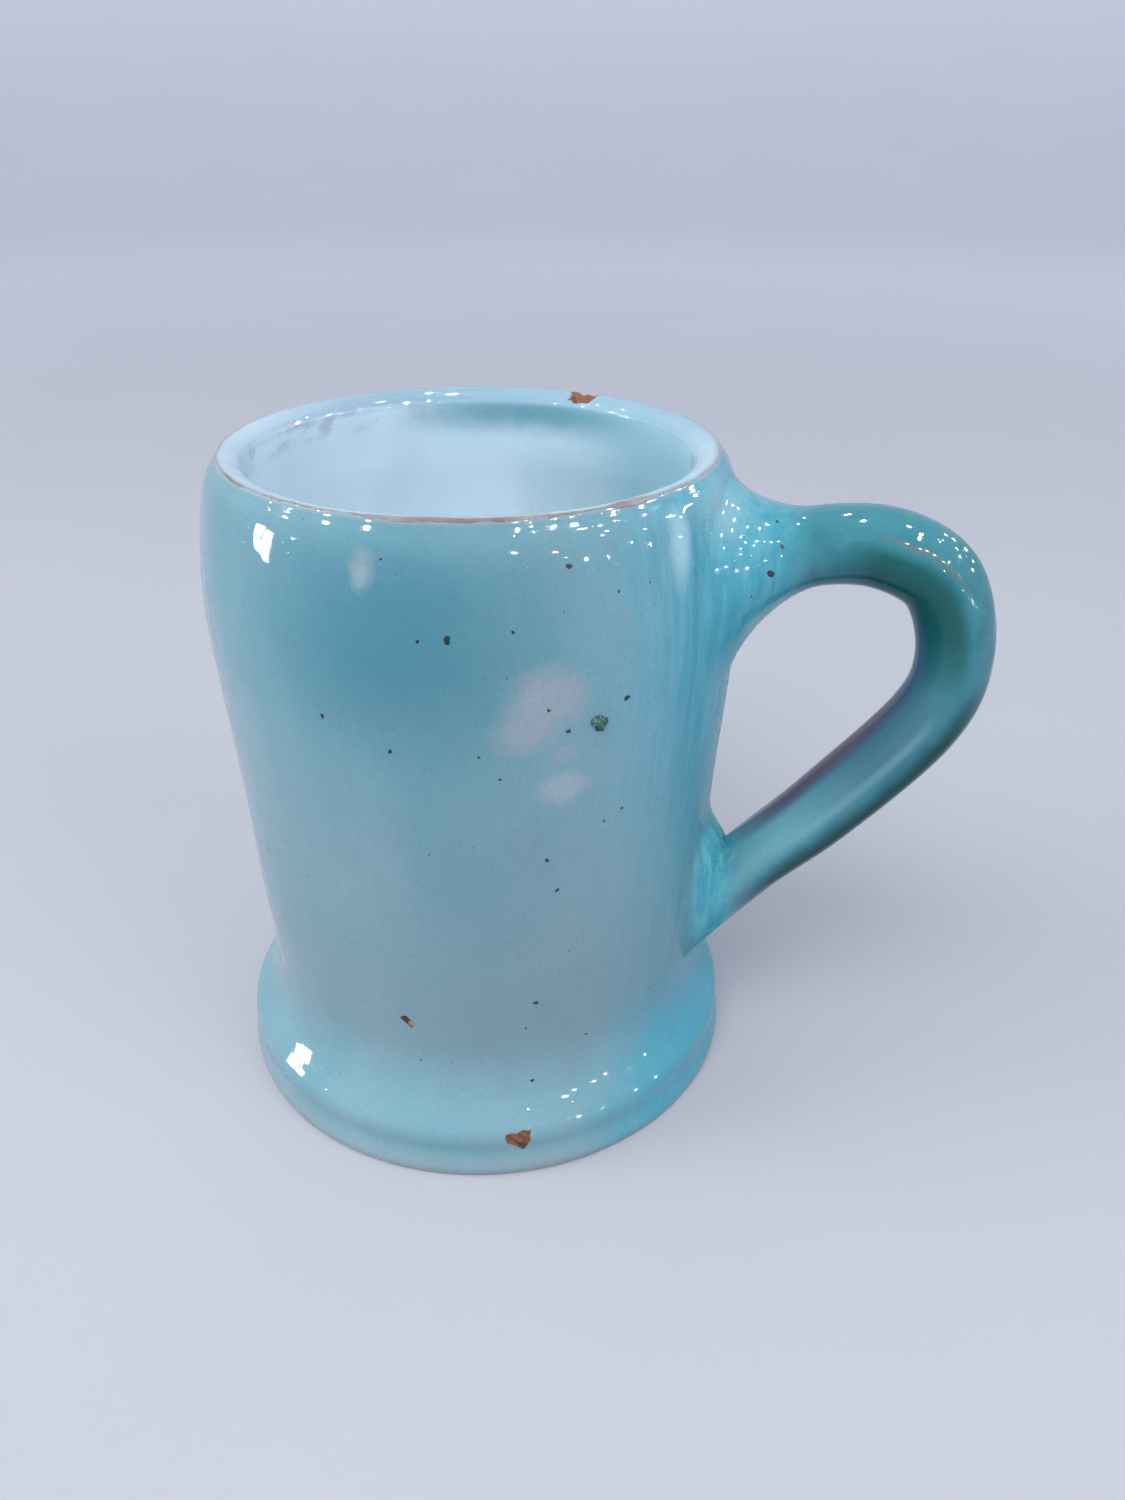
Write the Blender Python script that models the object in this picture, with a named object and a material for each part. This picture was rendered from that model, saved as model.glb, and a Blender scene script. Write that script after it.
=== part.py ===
"""Glazed earthenware shaving mug: a thrown clay pot, a rolled clay handle and the glaze over them.

+Z up. The origin is the centre of the flat foot, and the handle points along +X.
Lengths are in millimetres, and turned() and the other shapers turn them into metres.
"""

import math

import bmesh
import bpy
from mathutils import Matrix, Vector

MM = 0.001

# Driving dimensions in millimetres. The radii and heights are those of the glazed surface.
CREST_RADIUS = 34.0
CREST_HEIGHT = 100.2
BELLY_RADIUS = 38.7
WAIST_RADIUS = 35.2
FOOT_RADIUS = 40.4
RIM_WIDTH = 3.0
FLOOR_HEIGHT = 9.0
GLAZE = 0.5
GAP = 0.3
COAT = GLAZE + GAP
CREST_CLAY = 0.4
FOOT_CLAY = 1.2

# Half sizes of the handle's clay rope, and how much thinner it is at its lower end.
ROPE_HALF_WIDTH = 5.3
ROPE_HALF_THICKNESS = 4.8
ROPE_THINNING = 0.08

# Facets.
TURN_SIDES = 44
ROPE_SIDES = 16
CHIP_SIDES = 7

# The outside of the pot from the edge of the foot up to the crest of the rim: (radius, height).
OUTSIDE = (
    (FOOT_RADIUS - 0.3, 0.0),
    (FOOT_RADIUS, 1.8),
    (FOOT_RADIUS, 4.6),
    (FOOT_RADIUS - 0.8, 7.6),
    (FOOT_RADIUS - 2.6, 10.4),
    (WAIST_RADIUS + 0.8, 14.2),
    (WAIST_RADIUS, 20.0),
    (WAIST_RADIUS + 0.9, 34.0),
    (WAIST_RADIUS + 1.7, 51.0),
    (BELLY_RADIUS - 0.6, 68.0),
    (BELLY_RADIUS, 79.0),
    (BELLY_RADIUS - 0.5, 88.0),
    (CREST_RADIUS + 2.7, 96.2),
    (CREST_RADIUS + 1.0, 99.4),
    (CREST_RADIUS, CREST_HEIGHT),
)

# The inside from the crest, over the inward slope of the rim and down to the flat of the floor.
INSIDE = (
    (CREST_RADIUS, CREST_HEIGHT),
    (CREST_RADIUS - 1.6, CREST_HEIGHT - 0.4),
    (CREST_RADIUS - RIM_WIDTH + 0.3, CREST_HEIGHT - 1.3),
    (CREST_RADIUS - RIM_WIDTH, CREST_HEIGHT - 3.0),
    (CREST_RADIUS - 2.2, 90.0),
    (BELLY_RADIUS - 5.4, 77.0),
    (WAIST_RADIUS - 2.2, 51.0),
    (WAIST_RADIUS - 4.2, 25.0),
    (WAIST_RADIUS - 6.6, FLOOR_HEIGHT + 5.0),
    (WAIST_RADIUS - 13.0, FLOOR_HEIGHT + 0.8),
    (12.0, FLOOR_HEIGHT),
)

# The middle of the handle from the wall under the rim, over its top and down to the waist: (out, up).
HANDLE_LINE = (
    (30.0, 76.0),
    (39.6, 86.0),
    (48.9, 89.4),
    (57.7, 90.0),
    (65.5, 85.8),
    (68.6, 75.9),
    (65.8, 65.0),
    (54.0, 49.2),
    (43.4, 37.0),
    (37.6, 28.1),
    (31.0, 17.0),
)

# Rings of the clay smeared round each end of the rope:
# (out, up, tilt in degrees, half width across, half thickness). They bow back round the pot.
UPPER_SMEAR = (
    (31.0, 82.5, 4.0, 17.4, 13.4),
    (37.3, 82.5, 4.0, 16.4, 12.8),
    (38.8, 84.0, 7.0, 12.2, 9.8),
    (41.6, 86.7, 16.0, 7.8, 6.6),
    (46.2, 88.8, 20.0, 5.9, 5.4),
)
LOWER_SMEAR = (
    (30.0, 31.4, 0.0, 9.4, 12.2),
    (35.8, 31.4, 0.0, 9.0, 11.9),
    (37.8, 31.8, 0.0, 8.4, 11.2),
    (39.8, 32.6, 0.0, 7.4, 9.6),
    (41.6, 33.4, 0.0, 5.8, 7.4),
)

# Places on the glaze: (degrees round the mug from the handle, height, half width, half height).
FOOT_CHIP = (-66.0, 6.6, 2.0, 1.7)
WALL_CHIP = (-91.0, 25.0, 0.9, 1.1)
RIM_CHIP = (75.0, 99.6, 2.4, 1.3)
CRUMB = (-49.0, 74.0, 1.5, 1.2)

# How far a chip's cutter reaches in from the glazed surface and out past it, and how uneven its sides are.
CHIP_REACH_IN = 2.2
CHIP_REACH_OUT = 2.4
CHIP_UNEVENNESS = 0.22
CRUMB_HALF_DEPTH = 1.3
CRUMB_UNEVENNESS = 0.16


def clear_scene():
    for item in list(bpy.data.objects):
        bpy.data.objects.remove(item)


def smooth_line(points, steps):
    """A Catmull-Rom curve through the points, with this many steps between each two."""
    line = []
    last = len(points) - 1
    for i in range(last):
        before = Vector(points[max(i - 1, 0)])
        start = Vector(points[i])
        end = Vector(points[i + 1])
        after = Vector(points[min(i + 2, last)])
        for step in range(steps):
            t = step / steps
            slope = end - before
            bend = 2 * before - 5 * start + 4 * end - after
            twist = 3 * start - before - 3 * end + after
            line.append(start + 0.5 * t * (slope + t * (bend + t * twist)))
    line.append(Vector(points[last]))
    return line


def moved_out(line, distance):
    """The line moved out of the clay: to the right of its direction of travel."""
    moved = []
    last = len(line) - 1
    for i, point in enumerate(line):
        along = (line[min(i + 1, last)] - line[max(i - 1, 0)]).normalized()
        moved.append(point + Vector((along.y, -along.x)) * distance)
    return moved


def without_start(line, length):
    """The line with a length cut off its start."""
    left = length
    for i, point in enumerate(line):
        step = line[i + 1] - point
        if step.length > left:
            return [point + step * (left / step.length)] + line[i + 1:]
        left -= step.length


def without_end(line, length):
    return without_start(line[::-1], length)[::-1]


def to_axis(line):
    """A point on the axis, level with the end of the line."""
    return [Vector((0.0, line[-1].y))]


def make_material(name, colour, roughness):
    material = bpy.data.materials.new(name)
    material.use_nodes = True
    shader = material.node_tree.nodes["Principled BSDF"]
    shader.inputs["Base Color"].default_value = (*colour, 1.0)
    shader.inputs["Roughness"].default_value = roughness
    shader.inputs["Metallic"].default_value = 0.0
    return material


def add_object(name, shape, material):
    """An object of the bmesh. With no material it is a cutter, which stays hidden."""
    bmesh.ops.recalc_face_normals(shape, faces=shape.faces)
    mesh = bpy.data.meshes.new(name)
    shape.to_mesh(mesh)
    shape.free()
    thing = bpy.data.objects.new(name, mesh)
    bpy.context.scene.collection.objects.link(thing)
    if material is None:
        thing.hide_render = True
        thing.display_type = "WIRE"
    else:
        mesh.materials.append(material)
        mesh.shade_smooth()
        mesh.set_sharp_from_angle(angle=math.radians(40))
    return thing


def bridge(shape, first, second):
    """Faces between two rings of corners. A ring of one corner is a point on the axis."""
    sides = max(len(first), len(second))
    for k in range(sides):
        nxt = (k + 1) % sides
        if len(first) == 1:
            shape.faces.new((first[0], second[k], second[nxt]))
        elif len(second) == 1:
            shape.faces.new((first[k], first[nxt], second[0]))
        else:
            shape.faces.new((first[k], first[nxt], second[nxt], second[k]))


def turned(name, profile, material):
    """A solid turned about +Z. A profile that doesn't start on the axis is a closed loop."""
    shape = bmesh.new()
    rings = []
    for radius, height in profile:
        if radius == 0.0:
            rings.append([shape.verts.new((0.0, 0.0, MM * height))])
            continue
        ring = []
        for k in range(TURN_SIDES):
            angle = 2 * math.pi * k / TURN_SIDES
            place = Vector((radius * math.cos(angle), radius * math.sin(angle), height))
            ring.append(shape.verts.new(MM * place))
        rings.append(ring)
    if profile[0].x > 0.0:
        rings.append(rings[0])
    for first, second in zip(rings, rings[1:]):
        bridge(shape, first, second)
    return add_object(name, shape, material)


def lofted(name, rings, material, bow_radius=None):
    """A capped tube through ellipses square to the plane of the handle, bowed back round a radius."""
    shape = bmesh.new()
    loops = []
    for out, up, tilt, half_width, half_thickness in rings:
        lean = math.radians(tilt)
        loop = []
        for k in range(ROPE_SIDES):
            angle = 2 * math.pi * k / ROPE_SIDES
            across = half_width * math.sin(angle)
            rise = half_thickness * math.cos(angle)
            bow = bow_radius - math.sqrt(bow_radius ** 2 - across ** 2) if bow_radius else 0.0
            place = Vector((out - rise * math.sin(lean) - bow, across, up + rise * math.cos(lean)))
            loop.append(shape.verts.new(MM * place))
        loops.append(loop)
    for first, second in zip(loops, loops[1:]):
        bridge(shape, first, second)
    bmesh.ops.triangulate(shape, faces=shape.faces, quad_method="FIXED")
    shape.faces.new(loops[0])
    shape.faces.new(loops[-1])
    return add_object(name, shape, material)


def rope_rings(extra):
    """Rings along the handle, grown all round by an extra thickness."""
    line = smooth_line(HANDLE_LINE, 3)
    last = len(line) - 1
    rings = []
    for i, point in enumerate(line):
        along = line[min(i + 1, last)] - line[max(i - 1, 0)]
        tilt = math.degrees(math.atan2(along.y, along.x))
        size = 1.0 - ROPE_THINNING * i / last
        half_width = ROPE_HALF_WIDTH * size + extra
        half_thickness = ROPE_HALF_THICKNESS * size + extra
        rings.append((point.x, point.y, tilt, half_width, half_thickness))
    return rings


def smeared(name, table, extra, material):
    """Smeared clay, grown all round and away from the wall by an extra thickness."""
    growth = Vector((extra, 0.0, 0.0, extra, extra))
    rings = [ring + growth for ring in smooth_line(table, 2)]
    return lofted(name, rings, material, bow_radius=BELLY_RADIUS)


def plug(name, place, radius):
    """A small uneven plug that crosses the glaze at a radius, where it has chipped off."""
    turn, height, half_width, half_height = place
    shape = bmesh.new()
    rings = []
    for reach in (radius - CHIP_REACH_IN, radius + CHIP_REACH_OUT):
        ring = []
        for k in range(CHIP_SIDES):
            angle = 2 * math.pi * k / CHIP_SIDES
            size = 1.0 + CHIP_UNEVENNESS * math.sin(2.7 * k + 0.8)
            across = half_width * size * math.cos(angle)
            rise = height + half_height * size * math.sin(angle)
            ring.append(shape.verts.new(MM * Vector((reach, across, rise))))
        rings.append(ring)
    bridge(shape, rings[0], rings[1])
    shape.faces.new(rings[0])
    shape.faces.new(rings[1])
    swing = Matrix.Rotation(math.radians(turn), 3, "Z")
    bmesh.ops.rotate(shape, verts=shape.verts, cent=(0.0, 0.0, 0.0), matrix=swing)
    return add_object(name, shape, None)


def combine(thing, operation, others):
    for other in others:
        modifier = thing.modifiers.new(other.name, "BOOLEAN")
        modifier.operation = operation
        modifier.solver = "EXACT"
        modifier.object = other


def pot_core(name, surface_offset):
    """A cutter: the whole pot without its hollow, its surface moved by an offset."""
    side = moved_out(smooth_line(OUTSIDE, 1), surface_offset)
    below = Vector((side[0].x, side[0].y - 2.0))
    profile = [Vector((0.0, below.y)), below] + side + to_axis(side)
    return turned(name, profile, None)


def make_clay_body(material):
    """The pot. Its clay is at the surface only in the foot's edge and along the crest of the rim."""
    outside = smooth_line(OUTSIDE, 1)
    inside = smooth_line(INSIDE, 1)
    foot_edge = outside[:1] + without_start(outside, FOOT_CLAY)[:1]
    under_glaze = moved_out(without_end(without_start(outside, FOOT_CLAY), CREST_CLAY), -COAT)
    crest = [without_end(outside, CREST_CLAY)[-1], outside[-1], without_start(inside, CREST_CLAY)[0]]
    under_lining = moved_out(without_start(inside, CREST_CLAY), -COAT)
    base_middle = [Vector((0.0, 0.0))]
    profile = base_middle + foot_edge + under_glaze + crest + under_lining + to_axis(under_lining)
    return turned("clay_body", profile, material)


def make_wall_glaze(material):
    band = without_end(without_start(smooth_line(OUTSIDE, 1), FOOT_CLAY + GAP), CREST_CLAY + GAP)
    profile = band + moved_out(band, -GLAZE)[::-1]
    return turned("wall_glaze", profile, material)


def make_lining_glaze(material):
    band = without_start(smooth_line(INSIDE, 1), CREST_CLAY + GAP)
    back = moved_out(band, -GLAZE)
    profile = to_axis(band) + band[::-1] + back + to_axis(back)
    return turned("lining_glaze", profile, material)


def make_crumb(material):
    """A lump of kiln grit stuck in the glaze of the wall."""
    turn, height, half_width, half_height = CRUMB
    shape = bmesh.new()
    bmesh.ops.create_icosphere(shape, subdivisions=2, radius=1.0)
    for corner in shape.verts:
        wave = math.sin(5.0 * corner.co.x + 3.0 * corner.co.z) * math.cos(4.0 * corner.co.y)
        corner.co *= 1.0 + CRUMB_UNEVENNESS * wave
    bmesh.ops.scale(shape, verts=shape.verts, vec=MM * Vector((CRUMB_HALF_DEPTH, half_width, half_height)))
    bmesh.ops.translate(shape, verts=shape.verts, vec=MM * Vector((BELLY_RADIUS, 0.0, height)))
    swing = Matrix.Rotation(math.radians(turn), 3, "Z")
    bmesh.ops.rotate(shape, verts=shape.verts, cent=(0.0, 0.0, 0.0), matrix=swing)
    return add_object("kiln_crumb", shape, material)


def main():
    clear_scene()
    clay = make_material("clay", (0.30, 0.13, 0.08), 0.85)
    turquoise = make_material("turquoise_glaze", (0.25, 0.50, 0.58), 0.12)
    pale = make_material("lining_glaze", (0.50, 0.68, 0.80), 0.15)
    green = make_material("handle_glaze", (0.05, 0.22, 0.25), 0.12)
    grit = make_material("kiln_grit", (0.10, 0.22, 0.16), 0.5)

    make_clay_body(clay)
    wall_glaze = make_wall_glaze(turquoise)
    make_lining_glaze(pale)
    crumb = make_crumb(grit)

    handle_rope = lofted("handle_rope", rope_rings(0.0), clay)
    upper_joint = smeared("upper_joint", UPPER_SMEAR, 0.0, clay)
    lower_joint = smeared("lower_joint", LOWER_SMEAR, 0.0, clay)
    handle_glaze = lofted("handle_glaze", rope_rings(COAT), green)

    rope_room = lofted("rope_room", rope_rings(GAP), None)
    joint_rooms = [
        smeared("upper_room", UPPER_SMEAR, GAP, None),
        smeared("lower_room", LOWER_SMEAR, GAP, None),
    ]
    joint_coats = [
        smeared("upper_coat", UPPER_SMEAR, COAT, None),
        smeared("lower_coat", LOWER_SMEAR, COAT, None),
    ]
    clay_room = pot_core("clay_room", GAP - COAT)
    glaze_room = pot_core("glaze_room", GAP)
    chips = [
        plug("foot_chip", FOOT_CHIP, FOOT_RADIUS),
        plug("wall_chip", WALL_CHIP, WAIST_RADIUS),
        plug("rim_chip", RIM_CHIP, CREST_RADIUS + 1.0),
    ]

    combine(handle_rope, "DIFFERENCE", [clay_room])
    combine(upper_joint, "DIFFERENCE", [clay_room, rope_room])
    combine(lower_joint, "DIFFERENCE", [clay_room, rope_room])
    combine(handle_glaze, "UNION", joint_coats)
    combine(handle_glaze, "DIFFERENCE", [glaze_room, rope_room] + joint_rooms)
    combine(wall_glaze, "DIFFERENCE", [rope_room] + joint_rooms + chips)
    combine(crumb, "DIFFERENCE", [glaze_room])


main()
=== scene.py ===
"""Glazed earthenware shaving mug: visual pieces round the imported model, with lights and camera.

Shapes are worked out in millimetres and written into meshes in metres (MM).
"""

import math
from collections import namedtuple

import bmesh
import bpy
import numpy as np
from mathutils import Matrix, Vector


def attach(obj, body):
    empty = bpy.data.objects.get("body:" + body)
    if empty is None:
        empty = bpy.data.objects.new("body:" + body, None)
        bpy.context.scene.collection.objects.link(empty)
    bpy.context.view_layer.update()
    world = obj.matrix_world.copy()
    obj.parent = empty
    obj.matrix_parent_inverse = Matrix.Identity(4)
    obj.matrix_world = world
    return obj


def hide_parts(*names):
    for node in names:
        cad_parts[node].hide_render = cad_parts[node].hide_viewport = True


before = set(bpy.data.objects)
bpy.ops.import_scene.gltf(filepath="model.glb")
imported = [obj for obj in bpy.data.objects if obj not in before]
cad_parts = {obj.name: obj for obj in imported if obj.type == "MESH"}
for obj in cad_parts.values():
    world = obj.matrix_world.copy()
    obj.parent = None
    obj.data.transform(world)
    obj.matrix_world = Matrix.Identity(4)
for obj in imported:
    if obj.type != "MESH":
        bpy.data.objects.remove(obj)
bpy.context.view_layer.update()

MM = 0.001
SEED = 7

# The glazed outline of the pot: outside from the foot up, then inside down to the floor. (radius, height)
OUTLINE = (
    (40.1, 0.0), (40.4, 1.8), (40.4, 4.6), (39.6, 7.6), (37.8, 10.4), (36.0, 14.2), (35.2, 20.0),
    (36.1, 34.0), (36.9, 51.0), (38.1, 68.0), (38.7, 79.0), (38.2, 88.0), (36.7, 96.2), (35.0, 99.4),
    (34.0, 100.2),
    (32.4, 99.8), (31.3, 98.9), (31.0, 97.2), (31.8, 90.0), (33.3, 77.0), (33.0, 51.0), (31.0, 25.0),
    (28.6, 14.0), (22.2, 9.8), (12.0, 9.0), (6.0, 9.0), (0.0, 9.0),
)
CREST_POINT = 14
CURVE_STEPS = 40
WALL_RADIUS = 36.0

# The middle of the handle's rope, from the wall under the rim round to the waist: (out, up).
HANDLE_LINE = (
    (30.0, 76.0), (39.6, 86.0), (48.9, 89.4), (57.7, 90.0), (65.5, 85.8), (68.6, 75.9),
    (65.8, 65.0), (54.0, 49.2), (43.4, 37.0), (37.6, 28.1), (31.0, 17.0),
)
ROPE_WIDTH = 6.1
ROPE_DEPTH = 5.6
ROPE_THINNING = 0.08

# The rope itself runs between these shares of the handle's line. Beyond them the joints take over.
UPPER_AT = 0.20
LOWER_AT = 0.80

# Where each joint meets the wall, and a ring behind that: height of the middle, half width, half height.
# The lower joint's rings are turned over, because the rope comes down to it.
UPPER_FOOT = (83.4, 17.5, 15.0)
UPPER_HIDDEN = (83.4, 16.0, 14.4)
LOWER_FOOT = (29.0, 8.0, -11.8)
LOWER_HIDDEN = (29.0, 7.0, -10.8)

# The pad of clay pressed round the lower joint.
PAD_MIDDLE = 33.5
PAD_HALF_WIDTH = 8.8
PAD_HALF_HEIGHT = 12.3
PAD_THICKNESS = 3.7

# Thickness of the glaze's coats, and how deep the clay's surface lies under the glaze's.
GLAZE = 0.9
CLAY_DEPTH = 1.25
ROPE_CLAY_DEPTH = 1.1

# Chips in the glaze: degrees from the handle, height (None on the rim's top), depth, and the straight edges
# as (direction in degrees, distance).
Chip = namedtuple("Chip", "turn height depth edges")
FOOT_CHIP = Chip(-66.3, 6.5, 0.75, ((97, 1.45), (352, 1.75), (232, 1.30), (180, 2.05), (300, 2.05)))
WALL_CHIP = Chip(-91.0, 25.0, 0.45, ((42, 0.60), (225, 0.52), (135, 1.20), (318, 1.15), (5, 1.0)))
RIM_CHIP = Chip(75.0, None, 0.9, ((4, 2.3), (60, 2.2), (98, 1.7), (140, 2.2), (178, 2.2), (262, 2.1),
                                  (312, 2.3)))
RIM_CHIP_INSET = 1.2
CHIPS = (FOOT_CHIP, WALL_CHIP, RIM_CHIP)

# The lump of kiln grit (degrees from the handle, height), its half sizes across, up and out, and its knobs
# (across, up, size) as shares of those.
CRUMB = (-48.9, 74.1)
CRUMB_SIZE = (0.88, 1.2, 0.8)
CRUMB_KNOBS = ((0.0, 0.0, 0.95), (-0.85, 0.25, 0.6), (0.8, 0.1, 0.55), (0.35, -0.55, 0.5), (-0.5, 0.65, 0.35))

# Iron specks and pinholes in front: (degrees from the handle, height, radius).
SPECKS = (
    (-76.8, 87.0, 0.36), (-82.0, 86.7, 0.17), (-101.8, 75.1, 0.24), (-88.5, 71.6, 0.22), (-72.0, 71.3, 0.15),
    (-68.2, 67.9, 0.15), (-59.1, 77.2, 0.17), (-55.2, 73.8, 0.22), (-43.2, 76.7, 0.30), (-42.2, 59.7, 0.17),
    (-58.8, 54.2, 0.22), (-56.4, 48.8, 0.22), (-65.3, 87.7, 0.16), (-46.4, 58.5, 0.15), (-44.9, 90.8, 0.14),
    (-60.9, 28.9, 0.28), (-47.8, 19.9, 0.15), (-62.0, 14.2, 0.22), (-54.5, 94.7, 0.26), (-63.2, 24.1, 0.14),
)
SPECK_SCALE = 1.38
SCATTERED_SPECKS = 150
LENS_SIDES = 10

# Specks on the upper joint: (ring of the joint, degrees round it, radius).
HANDLE_SPECKS = ((23, 274.0, 0.46), (26, 299.0, 0.26), (24, 331.0, 0.24), (18, 262.0, 0.14))


# ---------------------------------------------------------------- curves and surfaces

def smooth_line(points, steps):
    """A Catmull-Rom curve through the points, as an array."""
    pts = np.array(points, float)
    last = len(pts) - 1
    line = []
    for i in range(last):
        a, b, c, d = pts[max(i - 1, 0)], pts[i], pts[i + 1], pts[min(i + 2, last)]
        bend = 2 * a - 5 * b + 4 * c - d
        twist = d + 3 * b - a - 3 * c
        for step in range(steps):
            t = step / steps
            line.append(b + 0.5 * t * ((c - a) + t * (bend + t * twist)))
    line.append(pts[last])
    return np.array(line)


def arc_lengths(line):
    return np.concatenate(([0.0], np.cumsum(np.linalg.norm(np.diff(line, axis=0), axis=1))))


PROFILE = smooth_line(OUTLINE, CURVE_STEPS)
PROFILE_S = arc_lengths(PROFILE)
PROFILE_ALONG = np.gradient(PROFILE, PROFILE_S, axis=0)
PROFILE_ALONG /= np.linalg.norm(PROFILE_ALONG, axis=1)[:, None]
CREST_S = PROFILE_S[CREST_POINT * CURVE_STEPS]
END_S = PROFILE_S[-1]

# The rows inside stop this far from the axis, and a cap closes them.
CAP_RADIUS = 0.4

HANDLE_CURVE = smooth_line(HANDLE_LINE, CURVE_STEPS)
HANDLE_SHARE = np.linspace(0, 1, len(HANDLE_CURVE))


def profile_at(s):
    """Radius, height and the outward normal of the pot's outline at arc lengths s."""
    r = np.interp(s, PROFILE_S, PROFILE[:, 0])
    z = np.interp(s, PROFILE_S, PROFILE[:, 1])
    ar = np.interp(s, PROFILE_S, PROFILE_ALONG[:, 0])
    az = np.interp(s, PROFILE_S, PROFILE_ALONG[:, 1])
    return r, z, az, -ar


def outside_s(z):
    """Arc length on the outside at a height."""
    n = CREST_POINT * CURVE_STEPS + 1
    return np.interp(z, PROFILE[:n, 1], PROFILE_S[:n])


def smoothstep(lo, hi, x):
    t = np.clip((x - lo) / (hi - lo), 0.0, 1.0)
    return t * t * (3 - 2 * t)


def bump(x, width):
    return np.exp(-(x / width) ** 2)


def turn_from(theta, degrees):
    """Angle in radians from a direction, between minus and plus half a turn."""
    return (theta - math.radians(degrees) + math.pi) % (2 * math.pi) - math.pi


def chip_shape(chip, theta, s):
    """1 at the edge of a chip, less inside it and more outside."""
    middle = CREST_S + RIM_CHIP_INSET if chip.height is None else outside_s(chip.height)
    across = turn_from(theta, chip.turn) * profile_at(middle)[0]
    up = s - middle
    wobble = 0.07 * np.sin(3.1 * across + 2.2 * up) + 0.04 * np.sin(5.3 * up - 4.1 * across)
    q = np.full(np.shape(across + up), -np.inf)
    for direction, distance in chip.edges:
        a = math.radians(direction)
        q = np.maximum(q, (across * math.cos(a) + up * math.sin(a)) / distance)
    return q + wobble


def chip_depth(chip, theta, s):
    q = chip_shape(chip, theta, s)
    uneven = 0.75 + 0.25 * np.cos(4 * WALL_RADIUS * theta + 3 * s)
    return chip.depth * smoothstep(1.06, 0.72, q) * uneven


# Slow waves of the whole wall: (waves round, size, phase, twist). Fine wrinkles: (waves round, rate up the
# wall, phase, size).
rng = np.random.default_rng(SEED)
WAVES = [(k, 0.045 / (1 + 0.35 * k), rng.uniform(0, 6.28), rng.uniform(0.02, 0.07)) for k in range(2, 9)]
WRINKLES = [(rng.integers(11, 46), rng.uniform(0.25, 1.1), rng.uniform(0, 6.28), rng.uniform(0.003, 0.007))
            for _ in range(14)]


def pad_height(theta, z):
    """How far the pad of clay round the lower end of the handle stands off the wall."""
    turn = turn_from(theta, 0.0)
    across = turn * WALL_RADIUS
    q = np.sqrt((across / PAD_HALF_WIDTH) ** 2 + ((z - PAD_MIDDLE) / PAD_HALF_HEIGHT) ** 2)
    crown = smoothstep(1.04, 0.42, q)
    ribs = 1 + 0.05 * np.sin(1.3 * across + 0.4 * z) * crown
    return PAD_THICKNESS * crown * ribs * smoothstep(2.2, 1.0, np.abs(turn))


def wall_relief(theta, s):
    """How far the surface stands off the turned outline."""
    r, z = profile_at(s)[:2]
    relief = np.zeros(np.shape(theta + s))
    for k, size, phase, twist in WAVES:
        relief = relief + size * np.sin(k * theta + phase + twist * z)
    relief = relief * smoothstep(-10, 25, z)
    for k, rate, phase, size in WRINKLES:
        relief = relief + size * np.sin(k * theta + rate * z + phase) * np.sin(0.5 * rate * z + 2 * phase)

    body = smoothstep(12, 22, z) * smoothstep(99, 92, z)
    rings = 0.018 * np.sin(2 * np.pi * z / 6.3 + theta) + 0.010 * np.sin(2 * np.pi * z / 3.7 + 2 * theta + 1)
    relief = relief + rings * body * (0.6 + 0.4 * np.sin(3 * theta + 0.05 * z))

    # Only outside: the foot's moulding, the pad and the ridge beside the upper joint.
    outside = smoothstep(CREST_S, CREST_S - 6, s)
    moulding = 0.36 * bump(z - 8.0, 2.2) - 0.68 * bump(z - 4.2, 2.0) + 0.28 * bump(z - 1.2, 1.2)
    ridge = 0.32 * bump(turn_from(theta, -27.0) * 38, 1.0) * smoothstep(84, 91, z) * smoothstep(99.5, 96, z)
    relief = relief + (moulding + pad_height(theta, z) + ridge) * outside
    return relief * smoothstep(0, 14, r)


def surface(theta, s, extra=0.0, chips=True):
    """Points on the glazed surface of the pot, in millimetres."""
    r, z, nr, nz = profile_at(s)
    d = wall_relief(theta, s) + extra
    if chips:
        for chip in CHIPS:
            d = d - chip_depth(chip, theta, s)
    out = np.maximum(r + nr * d, 0.0)
    return np.stack([out * np.cos(theta), out * np.sin(theta), z + nz * d], axis=-1)


def on_wall(turn, height):
    """The point outside at a number of degrees from the handle and a height."""
    point = surface(np.array([math.radians(turn)]), np.array([float(outside_s(height))]))[0]
    return tuple(float(v) for v in point)


# ---------------------------------------------------------------- meshes

def new_piece(name, points, faces, attributes=None, sharp=50):
    """A mesh object from points in millimetres and lists of corners."""
    mesh = bpy.data.meshes.new(name)
    mesh.from_pydata((np.asarray(points, float) * MM).tolist(), [], faces)
    for key, values in (attributes or {}).items():
        layer = mesh.attributes.new(key, "FLOAT", "POINT")
        layer.data.foreach_set("value", np.asarray(values, np.float32).ravel())
    shape = bmesh.new()
    shape.from_mesh(mesh)
    bmesh.ops.recalc_face_normals(shape, faces=shape.faces)
    shape.to_mesh(mesh)
    shape.free()
    mesh.validate()
    mesh.shade_smooth()
    mesh.set_sharp_from_angle(angle=math.radians(sharp))
    thing = bpy.data.objects.new(name, mesh)
    bpy.context.scene.collection.objects.link(thing)
    return thing


def lines(lo, hi, step, fine):
    """Grid lines between two values, closer together near each (middle, half width, step)."""
    x = np.linspace(lo, hi, 6000)
    density = np.full_like(x, 1.0 / step)
    for middle, half, small in fine:
        density = np.maximum(density, (1.0 / small) * smoothstep(1.9, 1.0, np.abs(x - middle) / half))
    total = np.concatenate(([0.0], np.cumsum((density[1:] + density[:-1]) / 2 * np.diff(x))))
    count = int(math.ceil(total[-1]))
    return np.interp(np.linspace(0, total[-1], count + 1), total, x)


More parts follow.
